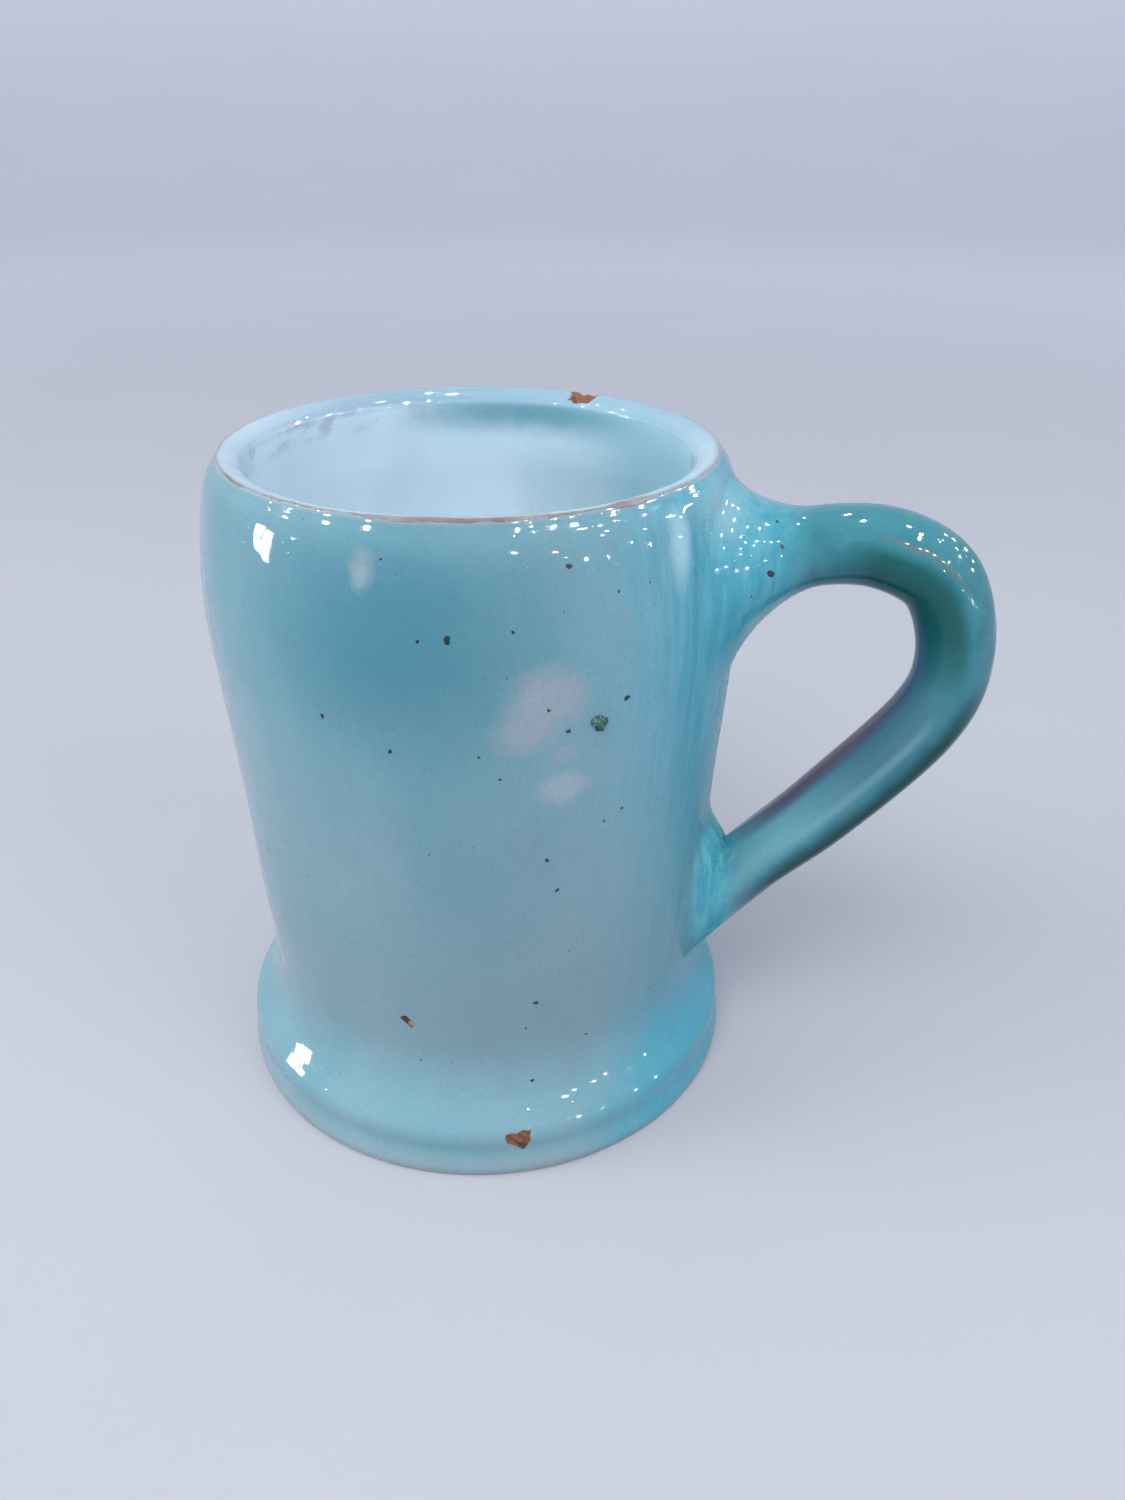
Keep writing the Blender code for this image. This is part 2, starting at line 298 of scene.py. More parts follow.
def ring_faces(first, second, sides):
    """Faces between two rings that start at these corner numbers."""
    return [(first + k, first + (k + 1) % sides, second + (k + 1) % sides, second + k) for k in range(sides)]


def tube(name, rings, attributes=None):
    """A tube through rings of points, with a cap at each end."""
    sides = len(rings[0])
    faces = []
    for i in range(len(rings) - 1):
        faces += ring_faces(i * sides, (i + 1) * sides, sides)
    faces.append(tuple(range(sides)))
    faces.append(tuple(range((len(rings) - 1) * sides, len(rings) * sides)))
    return new_piece(name, np.concatenate(rings), faces, attributes)


def shell(name, angles, s_lines, back_lines):
    """A closed coat of glaze over part of the pot's outline. It may end in the middle of the floor."""
    theta = angles[None, :]
    sides = len(angles)
    front, back = len(s_lines), len(back_lines)
    face_s, back_s = s_lines[:, None], back_lines[:, None]
    points = np.concatenate((surface(theta, face_s), surface(theta, back_s, -GLAZE, chips=False)))
    crest = np.repeat(np.concatenate((s_lines, back_lines)) - CREST_S, sides)
    bare = np.zeros((front + back, sides))
    for chip in CHIPS:
        bare[:front] = np.maximum(bare[:front], smoothstep(1.02, 0.93, chip_shape(chip, theta, face_s)))

    ends_on_floor = s_lines[-1] > END_S - 1.0
    rows = front + back
    faces = ring_faces((rows - 1) * sides, 0, sides)
    for i in range(rows - 1):
        if not (ends_on_floor and i == front - 1):
            faces += ring_faces(i * sides, (i + 1) * sides, sides)
    if ends_on_floor:
        faces.append(tuple(range((front - 1) * sides, front * sides)))
        faces.append(tuple(range(front * sides, (front + 1) * sides)))
    return new_piece(name, points.reshape(-1, 3), faces, {"crest": crest, "bare": bare})


def fine_turn(turn, half, step):
    """A stretch of closer grid lines round the pot, from degrees."""
    return math.radians(turn), math.radians(half), math.radians(step)


def make_wall_coat():
    """From the foot's edge to the crest, with a closer grid at the chips, the foot and the handle."""
    angles = lines(0, 2 * math.pi, math.radians(1.15), [
        fine_turn(FOOT_CHIP.turn % 360, 2.6, 0.22), fine_turn(WALL_CHIP.turn % 360, 1.6, 0.22),
        fine_turn(RIM_CHIP.turn, 4.2, 0.35), fine_turn(0, 15, 0.8), fine_turn(360, 15, 0.8),
    ])[:-1]
    s_lines = lines(0.25, CREST_S, 0.85, [
        (float(outside_s(FOOT_CHIP.height)), 1.3, 0.16), (float(outside_s(WALL_CHIP.height)), 1.2, 0.16),
        (CREST_S, 1.6, 0.14), (3.9, 3.6, 0.4),
    ])
    return shell("visual_wall_glaze", angles, s_lines, np.linspace(CREST_S, 1.0, 14))


def make_lining_coat():
    """From the crest over the slope of the rim, down the inside and over the floor."""
    angles = lines(0, 2 * math.pi, math.radians(1.6), [fine_turn(RIM_CHIP.turn, 4.2, 0.35)])[:-1]
    end = END_S - CAP_RADIUS
    s_lines = lines(CREST_S, end, 0.95, [(CREST_S, 4.2, 0.2)])
    return shell("visual_lining_glaze", angles, s_lines, np.linspace(end, CREST_S, 16))


def make_clay_pot():
    """The bare clay. The wire that cut the pot off the wheel left faint arcs under its foot."""
    sides = 200
    theta = np.arange(sides) / sides * 2 * math.pi
    rows = []
    for radius in (0.6, 6, 12, 18, 24, 30, 33, 36, 38.2, 39.2):
        x, y = radius * np.cos(theta), radius * np.sin(theta)
        arcs = 0.16 * np.sin(0.66 * x + 0.02 * y ** 2 + 7.7)
        lift = 0.25 + arcs * smoothstep(40, 30, radius) + 0.15 * smoothstep(36, 20, radius)
        rows.append(np.stack([x, y, lift], -1))
    rows.append(np.stack([39.8 * np.cos(theta), 39.8 * np.sin(theta), 0.0 * theta], -1))
    rows.append(surface(theta, np.array([0.12]), -0.06))
    outside = np.linspace(1.6, CREST_S, 26)
    inside = np.linspace(CREST_S + 0.5, END_S - CAP_RADIUS, 30)
    for s in np.concatenate((outside, inside)):
        rows.append(surface(theta, np.array([s]), -CLAY_DEPTH, chips=False))
    return tube("visual_clay_pot", rows)


def handle_point(share):
    return np.array([np.interp(share, HANDLE_SHARE, HANDLE_CURVE[:, k]) for k in range(2)])


def rope_ring(at, phi):
    """Points round the glazed rope at a share of the handle's line, and the line's direction there."""
    centre = handle_point(at)
    along = handle_point(at + 0.004) - handle_point(at - 0.004)
    along /= np.linalg.norm(along)
    normal = (-along[1], along[0])

    # Over its top the rope is squarer and flatter, with a ridge on the side.
    top = smoothstep(0.18, 0.28, at) * smoothstep(0.62, 0.45, at)
    squareness = 1 + 0.035 * top * np.cos(4 * phi)
    flat = 1 - 0.07 * top * bump(phi - 0.05, 0.55) - 0.07 * top * bump(phi - 2 * math.pi, 0.55)
    ridge = 1 + 0.045 * top * bump(phi - (2 * math.pi - 1.05), 0.22)
    lumps = 1 + 0.018 * math.sin(19 * at + 1) + 0.012 * np.sin(2 * phi + 23 * at)
    lumps = lumps + 0.008 * np.sin(3 * phi - 31 * at)
    size = squareness * flat * ridge * lumps * (1 - ROPE_THINNING * at)

    rise = ROPE_DEPTH * np.cos(phi) * size
    across = ROPE_WIDTH * np.sin(phi) * size
    points = np.stack([centre[0] + normal[0] * rise, across, centre[1] + normal[1] * rise], -1)
    return points, np.array([along[0], 0.0, along[1]])


def hermite(start, start_slope, end, end_slope, u):
    """A point on a cubic curve between two ends with given slopes."""
    h00 = 2 * u ** 3 - 3 * u ** 2 + 1
    h10 = u ** 3 - 2 * u ** 2 + u
    h01 = -2 * u ** 3 + 3 * u ** 2
    h11 = u ** 3 - u ** 2
    return h00 * start + h10 * start_slope + h01 * end + h11 * end_slope


def foot_on_wall(phi, foot, scale, extra):
    """A ring on the wall round a joint, scaled about its middle."""
    middle, half_width, half_height = foot
    across = half_width * np.sin(phi) * scale
    s = outside_s(middle + half_height * np.cos(phi) * scale)
    return surface(across / profile_at(s)[0], s, extra, chips=False)


def fillet(at, phi, inward, foot, sink, hug, count):
    """Rings from the wall to the rope's ring. The first lies on the wall and leaves it smoothly."""
    end, along = rope_ring(at, phi)
    start = foot_on_wall(phi, foot, 1.0, sink)
    slope = foot_on_wall(phi, foot, 0.97, sink) - start
    slope /= np.linalg.norm(slope, axis=1)[:, None]
    along = along * inward
    wall_out = foot_on_wall(phi, foot, 0.45, 0.0)[:, 0]
    reach = np.maximum((end[:, 0] - wall_out) / max(along[0], 0.25), 1.0)[:, None]
    corner = end - along[None, :] * reach
    start_slope = slope * np.linalg.norm(corner - start, axis=1)[:, None] * hug[0]
    end_slope = along[None, :] * reach * hug[1]
    return [hermite(start, start_slope, end, end_slope, i / count) for i in range(count)]


def upper_rings(phi):
    """From inside the wall, over the smeared clay under the rim, to the rope."""
    hidden = foot_on_wall(phi, UPPER_HIDDEN, 0.9, -1.2)
    return [hidden] + fillet(UPPER_AT, phi, 1, UPPER_FOOT, -0.07, (1.55, 1.35), 34)


def rope_rings(phi, count):
    return [rope_ring(at, phi)[0] for at in np.linspace(UPPER_AT, LOWER_AT, count)]


def lower_rings(phi):
    """From the rope, through the pad and into the wall."""
    sink = -0.12 - 0.5 * smoothstep(0.0, -1.0, np.cos(phi))
    rings = fillet(LOWER_AT, phi, -1, LOWER_FOOT, sink, (1.25, 1.25), 26)[::-1]
    return rings + [foot_on_wall(phi, LOWER_HIDDEN, 0.9, -1.4)]


def under_glaze(ring):
    """The ring drawn in towards its middle, as the clay lies under its glaze."""
    middle = ring.mean(axis=0)
    arm = ring - middle
    length = np.linalg.norm(arm, axis=1)[:, None]
    drawn_in = arm * np.maximum(1 - ROPE_CLAY_DEPTH / length, 0.2)
    return middle + drawn_in - np.array([0.35 * ROPE_CLAY_DEPTH, 0, 0])


def make_handle_clay():
    """The rope and the smeared clay at its two ends, all under the glaze."""
    phi = np.arange(40) / 40 * 2 * math.pi
    parts = (("visual_clay_rope", rope_rings(phi, 60)), ("visual_upper_clay", upper_rings(phi)[1:]),
             ("visual_lower_clay", lower_rings(phi)[:-1]))
    return [tube(name, [under_glaze(ring) for ring in rings]) for name, rings in parts]


def make_handle_coat():
    """The glaze over the rope and both joints, with its place along and round the rope as attributes."""
    sides = 88
    phi = np.arange(sides) / sides * 2 * math.pi
    top, rope, low = upper_rings(phi), rope_rings(phi, 150), lower_rings(phi)
    rings = top + rope + low
    runs = np.concatenate((np.linspace(0, UPPER_AT, len(top)), np.linspace(UPPER_AT, LOWER_AT, len(rope)),
                           np.linspace(LOWER_AT, 1, len(low))))
    count = len(rings)
    attributes = {
        "run": np.repeat(runs, sides),
        "side": np.tile(np.cos(phi), count),
        "across": np.tile(np.sin(phi), count),
        "bare": np.zeros(count * sides),
        "crest": np.full(count * sides, -50.0),
    }
    return tube("visual_handle_glaze", rings, attributes)


def make_crumb():
    """A crusty lump of kiln grit, stuck in the glaze."""
    turn, height = CRUMB
    theta = math.radians(turn)
    middle = np.array(on_wall(turn, height))
    across = CRUMB_SIZE[0] * np.array([-math.sin(theta), math.cos(theta), 0.0])
    up = CRUMB_SIZE[1] * np.array([0.0, 0.0, 1.0])
    out = CRUMB_SIZE[2] * np.array([math.cos(theta), math.sin(theta), 0.0])
    local = np.random.default_rng(SEED + 1)
    shape = bmesh.new()
    for x, y, size in CRUMB_KNOBS:
        corners = bmesh.ops.create_icosphere(shape, subdivisions=3, radius=1.0)["verts"]
        facets = local.normal(size=(9, 3))
        facets /= np.linalg.norm(facets, axis=1)[:, None]
        for corner in corners:
            n = np.array(corner.co)
            cut = min(1.0, (0.86 / np.maximum(0.05, facets @ n)).min())
            p = n * size * cut * (1 + 0.14 * math.sin(9 * n[0] + 5 * n[1]) * math.cos(7 * n[2] + 2))
            corner.co = Vector((middle + across * (x + p[0]) + up * (y + p[1]) + out * p[2]) * MM)
    mesh = bpy.data.meshes.new("visual_kiln_crumb")
    shape.to_mesh(mesh)
    shape.free()
    mesh.shade_smooth()
    mesh.set_sharp_from_angle(angle=math.radians(28))
    thing = bpy.data.objects.new("visual_kiln_crumb", mesh)
    bpy.context.scene.collection.objects.link(thing)
    return thing


def speck_places():
    """The specks in front, and more scattered all round, which are larger where the front isn't."""
    local = np.random.default_rng(SEED + 2)
    places = [(turn, height, SPECK_SCALE * radius) for turn, height, radius in SPECKS]
    for _ in range(SCATTERED_SPECKS):
        turn = local.uniform(18, 342)
        height = local.uniform(11, 97)
        near = min(abs(turn - 360 - p[0]) + abs(height - p[1]) for p in SPECKS)
        radius = 0.05 + (0.13 if 235 < turn < 345 else 0.30) * local.random() ** 3
        if near > 3.0:
            places.append((turn, height, radius))
    return places


def wall_lens(turn, height, radius):
    """Three rings of a lens on the wall: under the surface, at it and round the crown."""
    s0 = float(outside_s(height))
    r0 = float(profile_at(s0)[0])
    a = np.arange(LENS_SIDES) / LENS_SIDES * 2 * math.pi
    size = radius * (1 + 0.22 * np.sin(2 * a + turn) + 0.12 * np.sin(3 * a + height))
    return [surface(math.radians(turn) + reach * size * np.cos(a) / r0, s0 + reach * size * np.sin(a), extra)
            for reach, extra in ((1.0, -0.12), (1.0, 0.004), (0.55, 0.022))]


def joint_lens(ring, degrees, radius):
    """Three rings of a lens on the upper joint."""
    rings = upper_rings(np.radians([degrees - 2.0, degrees, degrees + 2.0]))
    middle = rings[ring][1]
    across = rings[ring][2] - rings[ring][0]
    across /= np.linalg.norm(across)
    normal = np.cross(rings[ring + 1][1] - rings[ring - 1][1], across)
    normal /= np.linalg.norm(normal)
    normal *= math.copysign(1.0, normal @ (middle - np.array([middle[0], 0.0, 88.5])))
    along = np.cross(across, normal)
    a = (np.arange(LENS_SIDES) / LENS_SIDES * 2 * math.pi)[:, None]
    size = radius * (1 + 0.2 * np.sin(2 * a + degrees))
    return [middle + reach * size * (1.2 * across * np.cos(a) + along * np.sin(a)) + normal * extra
            for reach, extra in ((1.0, -0.15), (1.0, 0.01), (0.5, 0.04))]


def make_specks():
    """Small dark lenses flush with the glaze."""
    lenses = [wall_lens(*place) for place in speck_places()] + [joint_lens(*place) for place in HANDLE_SPECKS]
    faces = []
    for i in range(len(lenses)):
        under, edge, crown = (LENS_SIDES * (3 * i + k) for k in range(3))
        faces += ring_faces(under, edge, LENS_SIDES) + ring_faces(edge, crown, LENS_SIDES)
        faces += [tuple(range(under, under + LENS_SIDES)), tuple(range(crown, crown + LENS_SIDES))]
    return new_piece("visual_iron_specks", np.array(lenses).reshape(-1, 3), faces)


# ---------------------------------------------------------------- materials

class Tree:
    """Short names for shader nodes. Values may be sockets or plain numbers and colours."""

    def __init__(self, name):
        self.material = bpy.data.materials.new(name)
        self.material.use_nodes = True
        self.tree = self.material.node_tree
        self.tree.nodes.clear()
        self.out = self.tree.nodes.new("ShaderNodeOutputMaterial")
        self.shader = self.tree.nodes.new("ShaderNodeBsdfPrincipled")
        self.tree.links.new(self.shader.outputs[0], self.out.inputs[0])
        coords = self.tree.nodes.new("ShaderNodeTexCoord")
        self.place = self.scaled(coords.outputs["Object"], (1 / MM, 1 / MM, 1 / MM))
        split = self.tree.nodes.new("ShaderNodeSeparateXYZ")
        self.tree.links.new(self.place, split.inputs[0])
        self.x, self.y, self.z = split.outputs

    def put(self, socket, value):
        if isinstance(value, bpy.types.NodeSocket):
            self.tree.links.new(value, socket)
        elif isinstance(value, (tuple, list)) and len(value) == 3 and socket.type == "RGBA":
            socket.default_value = (*value, 1.0)
        else:
            socket.default_value = value

    def feed(self, name, value):
        self.put(self.shader.inputs[name], value)

    def vector(self, operation, a, b):
        node = self.tree.nodes.new("ShaderNodeVectorMath")
        node.operation = operation
        self.put(node.inputs[0], a)
        self.put(node.inputs[1], b)
        return node.outputs[0]

    def scaled(self, vector, factors):
        return self.vector("MULTIPLY", vector, factors)

    def shifted(self, vector, offset):
        return self.vector("ADD", vector, offset)

    def math(self, operation, a, b=0.0):
        node = self.tree.nodes.new("ShaderNodeMath")
        node.operation = operation
        self.put(node.inputs[0], a)
        self.put(node.inputs[1], b)
        return node.outputs[0]

    def times(self, first, *others):
        for other in others:
            first = self.math("MULTIPLY", first, other)
        return first

    def plus(self, first, *others):
        for other in others:
            first = self.math("ADD", first, other)
        return first

    def minus(self, a, b):
        return self.math("SUBTRACT", a, b)

    def from_axis(self):
        return self.math("SQRT", self.plus(self.times(self.x, self.x), self.times(self.y, self.y)))

    def step(self, value, lo, hi, to_lo=0.0, to_hi=1.0):
        """A smooth step between two values. lo may be the larger."""
        node = self.tree.nodes.new("ShaderNodeMapRange")
        node.interpolation_type = "SMOOTHSTEP"
        self.put(node.inputs["Value"], value)
        if lo > hi:
            lo, hi, to_lo, to_hi = hi, lo, to_hi, to_lo
        node.inputs["From Min"].default_value = lo
        node.inputs["From Max"].default_value = hi
        node.inputs["To Min"].default_value = to_lo
        node.inputs["To Max"].default_value = to_hi
        return node.outputs["Result"]

    def noise(self, scale, detail=3.0, rough=0.55, stretch=(1, 1, 1), offset=(0, 0, 0), distort=0.0):
        """Noise with features of about 1/scale millimetres."""
        node = self.tree.nodes.new("ShaderNodeTexNoise")
        self.put(node.inputs["Vector"], self.shifted(self.scaled(self.place, stretch), offset))
        node.inputs["Scale"].default_value = scale
        node.inputs["Detail"].default_value = detail
        node.inputs["Roughness"].default_value = rough
        node.inputs["Distortion"].default_value = distort
        return node.outputs[0]

    def cells(self, scale, offset=(0, 0, 0)):
        """Distance to the nearest of scattered points, and a random number of each."""
        node = self.tree.nodes.new("ShaderNodeTexVoronoi")
        self.put(node.inputs["Vector"], self.shifted(self.place, offset))
        node.inputs["Scale"].default_value = scale
        split = self.tree.nodes.new("ShaderNodeSeparateColor")
        self.tree.links.new(node.outputs["Color"], split.inputs[0])
        return node.outputs["Distance"], split.outputs[0]

    def mix(self, factor, a, b):
        node = self.tree.nodes.new("ShaderNodeMix")
        node.data_type = "RGBA"
        node.clamp_factor = True
        self.put(node.inputs[0], factor)
        self.put(node.inputs[6], a)
        self.put(node.inputs[7], b)
        return node.outputs[2]

    def attribute(self, name):
        node = self.tree.nodes.new("ShaderNodeAttribute")
        node.attribute_name = name
        return node.outputs["Fac"]

    def bump(self, height, distance, strength=1.0, normal=None):
        node = self.tree.nodes.new("ShaderNodeBump")
        node.inputs["Strength"].default_value = strength
        node.inputs["Distance"].default_value = distance * MM
        self.put(node.inputs["Height"], height)
        if normal is not None:
            self.put(node.inputs["Normal"], normal)
        return node.outputs[0]

    def near(self, middle, size, soft=0.5, warp=0.0):
        """1 within an uneven ellipsoid about a point in millimetres, falling to 0 round it."""
        place = self.place
        if warp:
            node = self.tree.nodes.new("ShaderNodeTexNoise")
            self.put(node.inputs["Vector"], self.place)
            node.inputs["Scale"].default_value = 0.35
            node.inputs["Detail"].default_value = 3.0
            moved = self.scaled(self.shifted(node.outputs["Color"], (-0.5, -0.5, -0.5)), (warp,) * 3)
            place = self.shifted(self.place, moved)
        offset = self.shifted(place, tuple(-m for m in middle))
        node = self.tree.nodes.new("ShaderNodeVectorMath")
        node.operation = "LENGTH"
        self.put(node.inputs[0], self.scaled(offset, tuple(1.0 / k for k in size)))
        return self.step(node.outputs["Value"], 1 + soft, 1 - soft)


def srgb(r, g, b):
    """Colour in 0 to 255 as linear values."""
    return tuple(((c / 255 + 0.055) / 1.055) ** 2.4 if c > 10 else c / 255 / 12.92 for c in (r, g, b))


CLAY_DARK = srgb(108, 64, 44)
CLAY_LIGHT = srgb(172, 110, 78)


def clay_colour(t):
    """Brown-red clay with paler and darker grains."""
    colour = t.mix(t.noise(1.1, 4.0, 0.65), CLAY_DARK, CLAY_LIGHT)
    distance, which = t.cells(1.6, (3, 1, 7))
    pale = t.times(t.step(distance, 0.30, 0.12), t.step(which, 0.72, 0.78), 0.7)
    dark = t.times(t.step(distance, 0.32, 0.15), t.step(which, 0.18, 0.12), 0.7)
    return t.mix(dark, t.mix(pale, colour, srgb(196, 158, 128)), srgb(46, 27, 20))


def clay_material():
    t = Tree("bare_clay")
    t.feed("Base Color", clay_colour(t))
    t.feed("Roughness", t.step(t.noise(2.0), 0.3, 0.7, 0.78, 0.95))
    t.feed("IOR", 1.45)
    rough = t.bump(t.noise(2.2, 5.0, 0.7), 0.25, 0.7)
    t.feed("Normal", t.bump(t.cells(1.6, (3, 1, 7))[0], 0.12, 0.4, rough))
    return t.material


# Patches in the wall's glaze: (degrees from the handle, height, size, softness, warp, strength, colour).
# In front: darker glaze at the top, a paler stretch left of the joints, and a painted highlight streak beside
# the upper joint.
FRONT_CLOUDS_AND_HIGHLIGHT = (
    (-86, 86, (15.0, 9.0, 12.0), 0.85, 2.0, 0.85, srgb(56, 120, 138)),
    (-40, 62, (9.0, 9.0, 42.0), 0.8, 2.0, 0.45, srgb(124, 162, 177)),
    # A painted highlight: the pale streak beside the upper joint.
    (-29.0, 94.5, (1.5, 2.0, 5.0), 0.7, 1.2, 0.6, srgb(176, 206, 218)),
)
# Round the back: a paler cloud, two clearer ones and two thin spots.
BACK_CLOUDS = (
    (118, 52, (16.0, 12.0, 20.0), 0.8, 2.4, 0.50, srgb(126, 160, 172)),
    (160, 84, (12.0, 16.0, 11.0), 0.8, 2.4, 0.70, srgb(58, 124, 142)),
    (62, 40, (12.0, 10.0, 22.0), 0.8, 2.4, 0.45, srgb(70, 134, 150)),
    (134, 70, (4.4, 4.0, 3.0), 0.8, 2.4, 0.70, srgb(142, 154, 165)),
    (99, 38, (3.0, 3.0, 2.4), 0.8, 2.4, 0.65, srgb(146, 162, 172)),
)
# Painted reflections: soft pinkish patches in front.
PINK_REFLECTION_SPOTS = (
    (-58.6, 78.6, (4.6, 4.6, 3.8), 0.55, 2.6, 0.85, srgb(142, 154, 165)),
    (-63.5, 74.6, (3.8, 3.8, 3.2), 0.55, 2.6, 0.75, srgb(142, 154, 165)),
    (-55.6, 65.4, (3.1, 3.1, 2.2), 0.55, 2.6, 0.80, srgb(146, 162, 172)),
    (-92.2, 94.6, (1.5, 1.5, 2.2), 0.55, 2.6, 0.55, srgb(142, 154, 165)),
    (-55.2, 70.6, (1.8, 1.8, 1.2), 0.55, 2.6, 0.40, srgb(142, 154, 165)),
)


def with_clouds_and_painted_light(t, colour, clouds):
    # Each patch is a glaze cloud, or a painted highlight or painted reflection.
    for turn, height, size, soft, warp, strength, tone in clouds:
        cloud = t.near(on_wall(turn, height), size, soft, warp)
        colour = t.mix(t.times(cloud, strength), colour, tone)
    return colour


def add_glaze_fields(t):
    """Fields that all the coats share, so that they match where they meet."""
    t.radius = t.from_axis()
    t.turn = t.math("ARCTAN2", t.y, t.x)
    t.crest = t.attribute("crest")
    t.clouds = t.noise(0.050, 2.5, 0.45, (1, 1, 0.6), (11, 5, 2), 0.4)
    t.fine_clouds = t.noise(0.30, 5.0, 0.6, (1, 1, 0.7), (3, 9, 4))
    t.runs = t.noise(0.26, 4.0, 0.6, (1, 1, 0.10), (7, 1, 3), 0.4)
    t.streaky = t.noise(0.75, 3.0, 0.55, (1, 1, 0.07), (2, 8, 5), 0.3)


def wall_colour(t):
    """Clouds of thicker and thinner glaze, and runs down the wall."""
    colour = t.mix(t.step(t.clouds, 0.24, 0.78), srgb(97, 144, 158), srgb(117, 154, 166))
    colour = t.mix(t.times(t.step(t.fine_clouds, 0.42, 0.72), 0.28), colour, srgb(110, 137, 148))
    colour = t.mix(t.times(t.step(t.runs, 0.50, 0.76), 0.10), colour, srgb(64, 132, 150))

    # The foot carries thicker, clearer glaze, and a painted reflection greys its lowest edge.
    colour = t.mix(t.times(t.step(t.z, 22, 8), 0.30), colour, srgb(118, 162, 174))
    colour = t.mix(t.step(t.z, 4.6, 1.4, 0.0, 0.6), colour, srgb(132, 147, 155))

    # Towards the handle the glaze is thicker and bluer, in streaks that run down the wall.
    toward = t.step(t.x, 15, 35)
    streaks = t.step(t.plus(t.times(t.runs, 0.6), t.times(toward, 0.55)), 0.42, 0.86)
    thick = t.mix(t.step(t.z, 14, 30), srgb(54, 148, 170), srgb(86, 170, 188))
    cyan = t.mix(t.step(t.streaky, 0.30, 0.72), srgb(60, 152, 175), thick)
    colour = t.mix(t.times(streaks, toward, 0.84), colour, cyan)
    colour = with_clouds_and_painted_light(t, colour, FRONT_CLOUDS_AND_HIGHLIGHT)

    # The lower middle is greyer, where the glaze is thin.
    lower = t.times(t.step(t.z, 10, 24), t.step(t.z, 76, 30))
    colour = t.mix(t.times(lower, 0.48), colour, srgb(113, 134, 143))
    # Then the clouds round the back, and the painted pinkish reflections in front.
    return with_clouds_and_painted_light(t, colour, BACK_CLOUDS + PINK_REFLECTION_SPOTS)


def lining_colour(t):
    """Milkier glaze inside and over the slope of the rim, darker under the far rim and towards the far side.
    """
    milk = t.mix(t.step(t.clouds, 0.3, 0.7), srgb(220, 238, 250), srgb(199, 223, 236))
    band = t.near((3.0, 32.0, 97.2), (24.0, 8.0, 3.0), 0.8, 1.2)
    milk = t.mix(t.times(band, 0.9), milk, srgb(82, 144, 160))
    far = t.near((24.0, 22.0, 88.0), (18.0, 22.0, 16.0), 0.8, 2.0)
    milk = t.mix(t.times(far, 0.85), milk, srgb(112, 162, 178))
    lip = t.times(t.step(t.crest, 4.6, 3.0), t.step(t.y, 0, 26, 0.6, 1.0))
    milk = t.mix(lip, milk, srgb(134, 168, 186))

    # Lavender patches below the lip at the left, where the glaze is thin.
    patches = t.step(t.noise(0.22, 3.0, 0.6, (1, 1, 1.6), (5, 3, 9)), 0.50, 0.66)
    thin = t.times(t.step(t.crest, 2.2, 3.2), t.step(t.crest, 8.0, 4.5), patches)
    return t.mix(t.times(thin, t.step(t.x, 6, -12, 0.0, 0.55)), milk, srgb(158, 160, 190))


def add_rope_fields(t):
    """Where a point is on the rope: side is 1 on its outer face, across is -1 towards the front."""
    t.side = t.attribute("side")
    t.across = t.attribute("across")
    t.run = t.attribute("run")
    t.straight = t.step(t.run, 0.50, 0.60)


def bent_rope_colour(t, teal):
    """The rope's bend: painted shade under its top, painted shade with a painted bluish reflection on its
    inner face, and a worn brown line along the ridge.
    """
    # Painted shade on the loop's inner face, with a painted bluish reflection round the bend.
    inner = t.step(t.side, -0.25, -0.95)
    teal = t.mix(t.times(inner, t.step(t.run, 0.56, 0.46, 0.0, 0.8)), teal, srgb(62, 96, 112))
    painted_blue_sheen = t.times(inner, t.step(t.run, 0.44, 0.54))
    teal = t.mix(t.times(painted_blue_sheen, t.step(t.run, 0.62, 0.54, 0.2, 0.85)), teal, srgb(66, 96, 122))
    above = t.times(t.step(t.side, 0.45, 0.85), t.step(t.run, 0.42, 0.34))
    teal = t.mix(t.times(above, 0.6), teal, srgb(66, 130, 145))
    # Painted shade darkens the face under the rope's top.
    over = t.times(t.step(t.run, 0.22, 0.30), t.step(t.run, 0.58, 0.44))
    below = t.times(t.step(t.side, 0.45, 0.05), t.step(t.across, -0.3, -0.7))
    teal = t.mix(t.times(below, over, 0.85), teal, srgb(4, 76, 72))
    edge = t.plus(t.across, t.times(t.minus(t.fine_clouds, 0.5), 0.12), 0.865)
    line = t.times(t.step(t.math("ABSOLUTE", edge), 0.065, 0.0), t.step(t.side, 0.2, 0.4))
    ridge = t.times(t.step(t.run, 0.26, 0.31), t.step(t.run, 0.43, 0.38))
    return t.mix(t.times(line, ridge, 0.55), teal, srgb(104, 108, 98))


